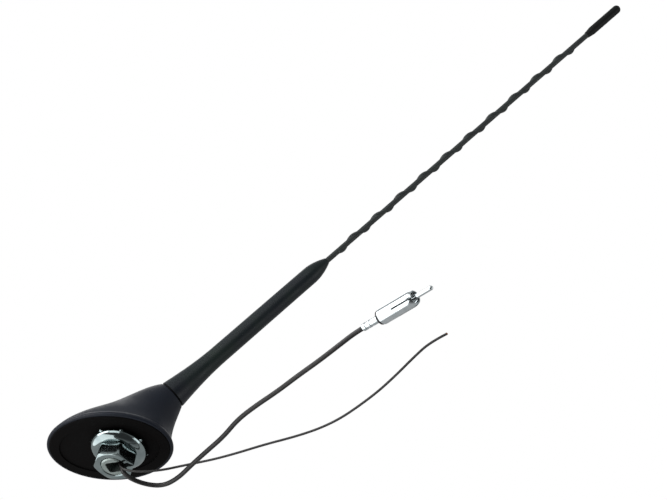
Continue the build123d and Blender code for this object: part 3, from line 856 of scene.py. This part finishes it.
@dataclass
class ClawWasher(TurnedPiece):
    """Pressed washer: a flat seat for the nut, a round dome, and claws bent up out of the rim.

    Attributes:
        bore: Radius of its hole.
        seat: Radius of the flat seat.
        rim: Radius of the rim.
        seat_height: Height of the seat.
        rim_height: Height of the rim.
        sheet: Thickness of the sheet.
        dome_steps: Faces down the dome.
        claws: How many claws it has. The first one starts at the first face.
        claw_reach: How far a claw stands out past the rim.
        claw_rise: How far it stands up past the rim.
    """

    name: str = "claw_washer_ring"
    body: str = "washer"
    slot: str = "bright_plate"
    finish: Finish = CHROME
    nodes: tuple[str, ...] = ("claw_washer",)
    steps: int = 144
    soften: float = 0.12
    first_turn: float = 31.0
    bore: float = 8.3
    seat: float = 12.6
    rim: float = 18.5
    seat_height: float = -6.0
    rim_height: float = -1.1
    sheet: float = 1.2
    dome_steps: int = 14
    claws: int = 8
    claw_reach: float = 0.8
    claw_rise: float = 0.8

    def outline(self) -> list[Point2]:
        """Lower side from the bore out to the rim, and upper side back in."""
        return self.side(0.0) + self.side(self.sheet)[::-1]

    def side(self, inset: float) -> list[Point2]:
        """One side of the sheet, from the bore to the rim."""
        seat = self.seat_height + inset
        reach = self.rim - inset - self.seat
        drop = self.rim_height - seat
        side = [(self.bore, seat), (self.seat, seat)]
        for part in range(1, self.dome_steps + 1):
            turn = math.pi / 2 * part / self.dome_steps
            side.append((self.seat + reach * math.sin(turn), self.rim_height - drop * math.cos(turn)))
        return side

    def form(self, shape: bmesh.types.BMesh) -> None:
        """Bend the claws up. Each is one face wide, at the start of its share of the rim."""
        spacing = self.steps // self.claws
        for vert in shape.verts:
            turn = math.degrees(math.atan2(vert.co.y, vert.co.x)) - self.first_turn
            on_claw = round(turn / 360 * self.steps) % spacing in (0, 1)
            at_rim = vert.co.z > (self.rim_height - TOLERANCE) * MM
            if not (on_claw and at_rim):
                continue
            outward = Vector((vert.co.x, vert.co.y, 0.0))
            if outward.length > (self.rim - self.sheet / 2) * MM:
                reach, rise = self.claw_reach, self.claw_rise / 2
            else:
                reach, rise = self.sheet, self.claw_rise
            vert.co += outward.normalized() * reach * MM + Vector(UPWARD) * rise * MM


@dataclass
class FixingNut(TurnedPiece):
    """Hexagon nut: a turned blank with a cone on both ends, and six flats cut on it.

    The first face starts at a corner of the hexagon.

    Attributes:
        flats: Half the width across the flats.
        corner: Radius of the blank, which rounds the corners.
        face: Radius of the round end faces.
        bore: Radius of its hole.
        mouth: Chamfer of the hole.
        top: Height of the upper face, a hair under the washer's seat.
        bottom: Height of the lower face.
        cone: Height of the cone at a corner.
    """

    SIDES: ClassVar[int] = 6

    name: str = "fixing_nut_ring"
    body: str = "nut"
    slot: str = "bright_plate"
    finish: Finish = CHROME
    nodes: tuple[str, ...] = ("fixing_nut",)
    steps: int = 120
    soften: float = 0.25
    first_turn: float = 9.0
    flats: float = 12.0
    corner: float = 13.4
    face: float = 11.6
    bore: float = 8.1
    mouth: float = 0.8
    top: float = -6.02
    bottom: float = -16.6
    cone: float = 0.8

    def outline(self) -> list[Point2]:
        """Hole, lower face, cone, side of the blank, cone and upper face."""
        return [
            (self.bore, self.bottom + self.mouth),
            (self.bore + self.mouth, self.bottom),
            (self.face, self.bottom),
            (self.corner, self.bottom + self.cone),
            (self.corner, self.top - self.cone),
            (self.face, self.top),
            (self.bore + self.mouth, self.top),
            (self.bore, self.top - self.mouth),
        ]

    def form(self, shape: bmesh.types.BMesh) -> None:
        """Cut the flats: what stands past them moves in along the cones."""
        sector = 360 / self.SIDES
        slope = self.cone / (self.corner - self.face)
        middle_height = (self.top + self.bottom) / 2 * MM
        for vert in shape.verts:
            radius = vert.co.xy.length / MM
            if radius < self.flats:
                continue
            turn = math.degrees(math.atan2(vert.co.y, vert.co.x)) - self.first_turn
            from_flat = math.radians(turn % sector - sector / 2)
            reach = min(self.flats / math.cos(from_flat), self.corner)
            vert.co.xy = vert.co.xy * (reach / radius)
            lift = slope * (self.corner - reach) * MM
            vert.co.z += lift if vert.co.z > middle_height else -lift


class FarEnd(Enum):
    """What is on the far end of a lead."""

    PLUG = "plug"
    BARE = "bare"


@dataclass
class Lead:
    """A flexible lead that lies below the foot.

    Attributes:
        node: The CAD tube that it stands for.
        diameter: Outside diameter.
        length: Length of its middle line. Not used.
        exit: Where it leaves the stud's slot. Not used.
        far_end: What is on its other end. Not used.
        route: The points that shape its line.
        finish: Its jacket.
    """

    # How finely the jacket is rounded, the steps along each span of the line, and the line's order.
    FACES: ClassVar[int] = 8
    SPAN_STEPS: ClassVar[int] = 16
    ORDER: ClassVar[int] = 3

    node: str
    diameter: float
    length: float
    exit: Point
    far_end: FarEnd
    route: list[Point]
    finish: Finish = LEAD_JACKET

    def build(self, pieces: list[bpy.types.Object]) -> bpy.types.Object:
        """Args:
            pieces: The separate pieces on its far end. Not used.

        Returns:
            The lead's curve object.
        """
        curve = bpy.data.curves.new(f"{self.node}_line", "CURVE")
        curve.dimensions = "3D"
        curve.bevel_depth = self.diameter / 2 * MM
        curve.bevel_resolution = self.FACES
        curve.resolution_u = self.SPAN_STEPS
        curve.use_fill_caps = True
        spline = curve.splines.new("NURBS")
        spline.points.add(len(self.route) - 1)
        for point, place in zip(spline.points, self.route):
            point.co = (*metres(place), 1.0)
        spline.use_endpoint_u = True
        spline.order_u = self.ORDER
        curve.materials.append(self.finish.material())
        lead = bpy.data.objects.new(f"{self.node}_flexible", curve)
        bpy.context.collection.objects.link(lead)
        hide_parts(self.node)
        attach(lead, "base")
        LOG.info("%s laid over %d points", lead.name, len(self.route))
        return lead


def along_plug(distance: float) -> Point:
    """Point on the plug's axis, at a distance from its cable end."""
    return tuple(start + way * distance for start, way in zip(PLUG_START, PLUG_DIRECTION))


COAX = Lead(
    node="coax_lead",
    diameter=3.0,
    length=272.0,
    exit=(4.4, 1.8, -17.0),
    far_end=FarEnd.PLUG,
    route=[
        (4.2, 1.7, 9.5),
        (4.2, 1.7, -1.5),
        (4.4, 1.8, -17.0),
        (9.6, 4.8, -22.8),
        (18.8, 12.4, -24.0),
        (30.0, 16.2, -24.0),
        (43.2, 10.9, -24.0),
        (57.5, 0.8, -24.0),
        (72.6, -9.1, -24.0),
        (88.5, -19.2, -24.0),
        (104.4, -32.2, -24.0),
        (121.0, -41.5, -24.0),
        (139.0, -50.4, -24.0),
        (157.7, -60.9, -24.0),
        (174.5, -69.7, -24.0),
        (190.5, -78.0, -22.6),
        along_plug(-6.0),
        along_plug(8.0),
    ],
)
SUPPLY = Lead(
    node="supply_wire",
    diameter=1.5,
    length=298.0,
    exit=(4.6, -1.6, -16.8),
    far_end=FarEnd.BARE,
    route=[
        (4.4, -1.6, 9.5),
        (4.4, -1.6, -1.5),
        (4.6, -1.6, -16.8),
        (10.2, -1.2, -22.0),
        (21.5, 0.0, -24.4),
        (35.5, 1.8, -24.0),
        (47.0, 3.6, -21.3),
        (60.5, 2.9, -21.1),
        (74.0, -0.5, -23.6),
        (91.2, -4.0, -24.75),
        (112.0, -7.8, -24.75),
        (134.0, -10.6, -24.75),
        (152.0, -14.4, -24.75),
        (168.0, -20.2, -24.75),
        (184.0, -28.6, -24.75),
        (200.0, -38.0, -24.75),
        (216.0, -49.2, -24.75),
        (231.3, -60.8, -24.75),
        (245.0, -70.3, -24.75),
        (257.1, -74.8, -24.75),
    ],
)


@dataclass
class CutStrands:
    """Copper strands that show at the cut end of the supply wire.

    Attributes:
        end: Middle of the wire's cut face.
        before: The point of the route before it.
        strand_radius: Radius of one strand.
        ring_radius: Radius of the ring that the outer strands lie on.
        outer_count: Strands round the middle one.
        proud: How far they stand out of the jacket.
        sunk: How far they reach back into it.
        sides: Faces round a strand.
        end_round: Rounding of a strand's end, as a share of its radius.
        round_steps: Faces across that rounding.
    """

    end: Point
    before: Point
    strand_radius: float = 0.16
    ring_radius: float = 0.33
    outer_count: int = 6
    proud: float = 0.35
    sunk: float = 2.0
    sides: int = 16
    end_round: float = 0.6
    round_steps: int = 3

    def build(self) -> bpy.types.Object:
        """Model the strands, each a rounded rod, and return their object."""
        shape = bmesh.new()
        self.add_strand(shape, Vector((0, 0, 0)))
        for index in range(self.outer_count):
            turn = Matrix.Rotation(index * 2 * math.pi / self.outer_count, 3, "Z")
            self.add_strand(shape, turn @ Vector((self.ring_radius, 0, 0)))
        way = (Vector(self.end) - Vector(self.before)).normalized()
        turn = Vector(UPWARD).rotation_difference(way).to_matrix().to_4x4()
        place = Matrix.Translation(metres(self.end)) @ turn @ Matrix.Scale(MM, 4)
        bmesh.ops.transform(shape, matrix=place, verts=shape.verts)
        bmesh.ops.recalc_face_normals(shape, faces=shape.faces)
        mesh = bpy.data.meshes.new("supply_wire_strands")
        shape.to_mesh(mesh)
        shape.free()
        mesh.materials.append(COPPER.material())
        for face in mesh.polygons:
            face.use_smooth = True
        strands = bpy.data.objects.new("supply_wire_strands", mesh)
        bpy.context.collection.objects.link(strands)
        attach(strands, "base")
        LOG.info("%s has %d strands", strands.name, self.outer_count + 1)
        return strands

    def add_strand(self, shape: bmesh.types.BMesh, middle: Vector) -> None:
        """Add one strand along Z with a rounded end.

        Args:
            shape: The mesh that gets it.
            middle: Where its axis crosses the wire's cut face.
        """
        length = self.proud + self.sunk
        lift = Matrix.Translation(middle + Vector((0, 0, self.proud - length / 2)))
        made = bmesh.ops.create_cone(
            shape,
            cap_ends=True,
            segments=self.sides,
            radius1=self.strand_radius,
            radius2=self.strand_radius,
            depth=length,
            matrix=lift,
        )
        rim = [
            edge
            for edge in {edge for vert in made["verts"] for edge in vert.link_edges}
            if all(vert.co.z > self.proud - TOLERANCE for vert in edge.verts)
        ]
        bmesh.ops.bevel(
            shape,
            geom=rim,
            offset=self.strand_radius * self.end_round,
            offset_type="OFFSET",
            segments=self.round_steps,
            profile=0.5,
            affect="EDGES",
            material=-1,
        )


class LightAxes(Enum):
    """What a light's direction is measured along."""

    CAMERA = "right, up and back, as the photograph's camera sees it"
    OBJECT = "X, Y and Z of the object"


@dataclass(frozen=True)
class Softbox:
    """A square soft light that faces the object.

    Attributes:
        name: The light's name.
        axes: What its direction is measured along.
        way: Direction from the object to the light.
        size: Width of the light.
        distance: From the object's middle.
        power: Power in watts.
    """

    name: str
    axes: LightAxes
    way: Point
    size: float
    distance: float
    power: float


SOFTBOXES = (
    Softbox("key_softbox", LightAxes.CAMERA, (-0.5, 0.75, 0.8), size=900.0, distance=1300.0, power=5.0),
    Softbox("side_softbox", LightAxes.CAMERA, (0.9, -0.1, 0.5), size=700.0, distance=1300.0, power=3.0),
    Softbox("top_softbox", LightAxes.OBJECT, (-0.3, 0.35, 1.0), size=1200.0, distance=1500.0, power=6.0),
    Softbox("left_softbox", LightAxes.CAMERA, (-1.0, 0.45, 0.1), size=800.0, distance=1000.0, power=9.0),
    Softbox("low_softbox", LightAxes.OBJECT, (-0.7, -0.15, -0.7), size=900.0, distance=900.0, power=4.5),
)


@dataclass
class Studio:
    """Pale floor under the leads, soft lights and the photograph's camera.

    Attributes:
        target: What the camera looks at.
        distance: From the target to the camera.
        azimuth: Round from the front, in degrees.
        elevation: Above the horizon, in degrees.
        roll: Turn of the camera about its own view, in degrees.
        lens: Focal length.
        sensor: Width of the camera's sensor.
        clip_distance: The camera sees nothing farther away.
        floor_size: Width of the floor.
        floor_colour: Colour of the floor.
        floor_glow: Light that comes through the floor, which is a lit table.
        floor_fade: From its middle, where the floor starts to fade into the backdrop and where it ends.
        ambient: Strength of the even light all round.
        bright_side: Strength of the walls that mirrors see.
        dark_side: Strength of what they see behind the camera, where the room is unlit.
        dark_edge: Where that dark starts and where it is full, as cosines from the view.
    """

    target: Point = (146.193, -35.228, 109.72)
    distance: float = 1500.0
    azimuth: float = 31.62
    elevation: float = -44.186
    roll: float = 12.693
    lens: float = 126.71
    sensor: float = 36.0
    clip_distance: float = 15000.0
    floor_size: float = 3000.0
    floor_colour: str = "#f4f4f2"
    floor_glow: float = 0.35
    floor_fade: Point2 = (450.0, 1300.0)
    ambient: float = 0.4
    bright_side: float = 0.5
    dark_side: float = 0.06
    dark_edge: Point2 = (0.25, 0.8)

    def build(self) -> None:
        """Set up the camera, the lights, the world and the floor."""
        self.add_camera()
        for softbox in SOFTBOXES:
            self.add_softbox(softbox)
        self.add_world()
        self.add_floor()
        bpy.context.scene.view_settings.view_transform = "Standard"

    def view_axes(self) -> tuple[Vector, Vector, Vector]:
        """Right, up and backward directions of the camera."""
        azimuth = math.radians(self.azimuth)
        elevation = math.radians(self.elevation)
        level = math.cos(elevation)
        back = Vector((math.sin(azimuth) * level, -math.cos(azimuth) * level, math.sin(elevation)))
        unrolled = Vector(UPWARD).cross(back).normalized()
        right = Matrix.Rotation(math.radians(self.roll), 3, back) @ unrolled
        return right, back.cross(right), back

    def add_camera(self) -> None:
        """Put the camera where the photograph was taken from."""
        right, up, back = self.view_axes()
        lens = bpy.data.cameras.new("photo_camera")
        lens.lens = self.lens
        lens.sensor_fit = "HORIZONTAL"
        lens.sensor_width = self.sensor
        lens.clip_end = self.clip_distance * MM
        camera = bpy.data.objects.new("photo_camera", lens)
        place = metres(self.target) + back * self.distance * MM
        turn = Matrix((right, up, back)).transposed().to_4x4()
        camera.matrix_world = Matrix.Translation(place) @ turn
        bpy.context.collection.objects.link(camera)
        bpy.context.scene.camera = camera

    def add_softbox(self, softbox: Softbox) -> None:
        """Hang a soft light in its place and turn it to the object."""
        way = Vector(softbox.way)
        if softbox.axes is LightAxes.CAMERA:
            way = Matrix(self.view_axes()).transposed() @ way
        light = bpy.data.lights.new(softbox.name, "AREA")
        light.size = softbox.size * MM
        light.energy = softbox.power
        lamp = bpy.data.objects.new(softbox.name, light)
        place = metres(self.target) + way.normalized() * softbox.distance * MM
        turn = way.to_track_quat("Z", "Y").to_matrix().to_4x4()
        lamp.matrix_world = Matrix.Translation(place) @ turn
        bpy.context.collection.objects.link(lamp)

    def add_world(self) -> None:
        """White backdrop, softer as a light, and dark in mirrors on the photograph camera's side."""
        world = bpy.data.worlds.new("white_studio")
        bpy.context.scene.world = world
        world.use_nodes = True
        tree = world.node_tree
        tree.nodes.clear()
        way = add_node(tree, "ShaderNodeTexCoord").outputs["Generated"]
        back = self.view_axes()[2]
        facing = add_node(tree, "ShaderNodeVectorMath", {"operation": "DOT_PRODUCT"}, {1: back}, {0: way})
        start, full = self.dark_edge
        values = {"From Min": start, "From Max": full, "To Min": self.bright_side, "To Max": self.dark_side}
        links = {"Value": facing.outputs["Value"]}
        mirrored = add_node(tree, "ShaderNodeMapRange", values=values, links=links)
        path = add_node(tree, "ShaderNodeLightPath").outputs
        unmet, met = MIX_NUMBERS
        links = {MIX_SHARE: path["Is Glossy Ray"], met: mirrored.outputs["Result"]}
        lit = add_node(tree, "ShaderNodeMix", values={unmet: self.ambient}, links=links)
        # The camera sees plain white, also through the clear floor.
        links = {0: path["Is Camera Ray"], 1: path["Is Transmission Ray"]}
        direct = add_node(tree, "ShaderNodeMath", {"operation": "MAXIMUM"}, links=links)
        links = {MIX_SHARE: direct.outputs[0], unmet: lit.outputs[0]}
        strength = add_node(tree, "ShaderNodeMix", values={met: 1.0}, links=links)
        white = {"Color": (1.0, 1.0, 1.0, 1.0)}
        links = {"Strength": strength.outputs[0]}
        light = add_node(tree, "ShaderNodeBackground", values=white, links=links)
        add_node(tree, "ShaderNodeOutputWorld", links={"Surface": light.outputs["Background"]})

    def add_floor(self) -> None:
        """Floor that the leads lie on. It shows from above only, and from below the view is open."""
        shape = bmesh.new()
        bmesh.ops.create_grid(shape, x_segments=1, y_segments=1, size=self.floor_size / 2 * MM)
        bmesh.ops.translate(shape, vec=self.floor_middle(), verts=shape.verts)
        mesh = bpy.data.meshes.new("studio_floor")
        shape.to_mesh(mesh)
        shape.free()
        mesh.materials.append(self.floor_material())
        floor = bpy.data.objects.new("studio_floor", mesh)
        bpy.context.collection.objects.link(floor)

    def floor_middle(self) -> Vector:
        """Point under what the camera looks at, just below the leads."""
        return metres((self.target[0], self.target[1], FLOOR_HEIGHT - FLOOR_GAP))

    def floor_material(self) -> bpy.types.Material:
        """Matt paper that only a camera above it sees, so that light from below reaches the object."""
        material = bpy.data.materials.new("studio_paper")
        material.use_nodes = True
        tree = material.node_tree
        tree.nodes.clear()
        colour = srgb(self.floor_colour)
        matt = add_node(tree, "ShaderNodeBsdfDiffuse", values={"Color": colour})
        glow = add_node(tree, "ShaderNodeEmission", values={"Color": colour, "Strength": self.floor_glow})
        links = {0: matt.outputs["BSDF"], 1: glow.outputs["Emission"]}
        paper = add_node(tree, "ShaderNodeAddShader", links=links)
        clear = add_node(tree, "ShaderNodeBsdfTransparent")
        # Paper shows to the camera, from above, and not too far from the middle.
        below = add_node(tree, "ShaderNodeNewGeometry").outputs["Backfacing"]
        camera = add_node(tree, "ShaderNodeLightPath").outputs["Is Camera Ray"]
        subtract = {"operation": "SUBTRACT", "use_clamp": True}
        above = add_node(tree, "ShaderNodeMath", subtract, links={0: camera, 1: below})
        place = add_node(tree, "ShaderNodeTexCoord").outputs["Object"]
        middle = {1: self.floor_middle()}
        away = add_node(tree, "ShaderNodeVectorMath", {"operation": "DISTANCE"}, middle, {0: place})
        start, end = self.floor_fade
        near = add_node(
            tree,
            "ShaderNodeMapRange",
            {"interpolation_type": "SMOOTHSTEP"},
            {"From Min": start * MM, "From Max": end * MM, "To Min": 1.0, "To Max": 0.0},
            {"Value": away.outputs["Value"]},
        )
        links = {0: above.outputs[0], 1: near.outputs["Result"]}
        share = add_node(tree, "ShaderNodeMath", {"operation": "MULTIPLY"}, links=links)
        links = {0: share.outputs[0], 1: clear.outputs["BSDF"], 2: paper.outputs["Shader"]}
        mix = add_node(tree, "ShaderNodeMixShader", links=links)
        add_node(tree, "ShaderNodeOutputMaterial", links={"Surface": mix.outputs["Shader"]})
        return material


def main() -> None:
    """Build the antenna's looks over its frame, piece by piece."""
    logging.basicConfig(level=logging.INFO, format="%(name)s: %(message)s")
    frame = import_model()
    plug = AerialPlug()
    for assembly in (Foot(), Amplifier(), Mast(), plug):
        assembly.dress(frame)
    for ring in (GasketPad(), ShellLip(), ClawWasher(), FixingNut()):
        ring.build()
    COAX.build([frame["nodes"][node] for node in plug.finishes])
    strands = CutStrands(end=SUPPLY.route[-1], before=SUPPLY.route[-2]).build()
    SUPPLY.build([strands])
    Studio().build()


if __name__ == "__main__":
    main()
